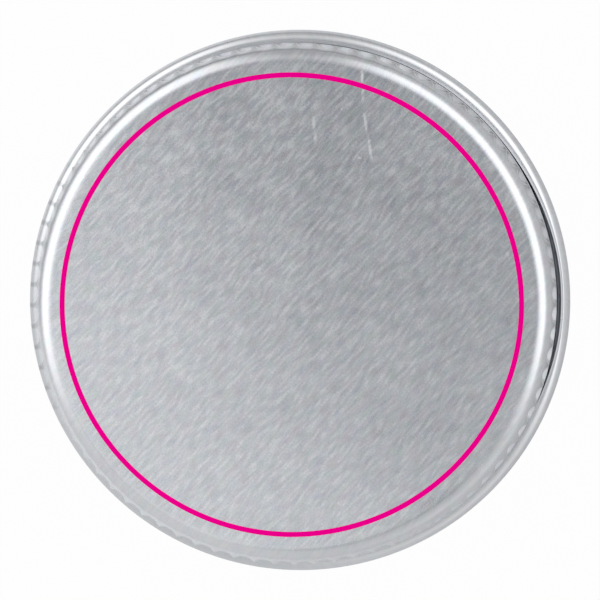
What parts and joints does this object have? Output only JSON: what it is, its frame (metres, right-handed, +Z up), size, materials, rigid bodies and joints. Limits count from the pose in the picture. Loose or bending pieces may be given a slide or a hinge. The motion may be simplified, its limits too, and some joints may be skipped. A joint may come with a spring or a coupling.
{
  "type": "lip balm tin",
  "caption": "Round brushed-aluminium screw tin: knurled lid with a flat top and a rolled hem, foam liner, threaded base and a fill of balm.",
  "frame": {"origin": "middle of the flat foot ring that the tin stands on", "axes": "+Z up along the tin's axis, out of the lid's flat top; +X to the right and +Y to the top of the picture"},
  "size_m": [0.038, 0.038, 0.017],
  "materials": {
    "lid_aluminium": "brushed top, satin edge",
    "base_aluminium": "satin",
    "liner_foam": "closed-cell foam",
    "balm": "waxy"
  },
  "bodies": {
    "base": {"tin_base": "base_aluminium", "balm": "balm"},
    "liner": {"lid_liner": "liner_foam"},
    "lid": {"lid": "lid_aluminium"}
  },
  "joints": [
    {"name": "lid_lift", "type": "slide", "parent": "base", "child": "liner", "axis": [0, 0, 1], "range_m": [0, 0.01801]},
    {"name": "lid_turn", "type": "hinge", "parent": "liner", "child": "lid", "pos_m": [0, 0, 0], "axis": [0, 0, 1], "range_deg": [0, 2160]}
  ],
  "couplings": [
    {"joint": "lid_lift", "follows": "lid_turn", "m_per_rad": 0.00047746}
  ]
}
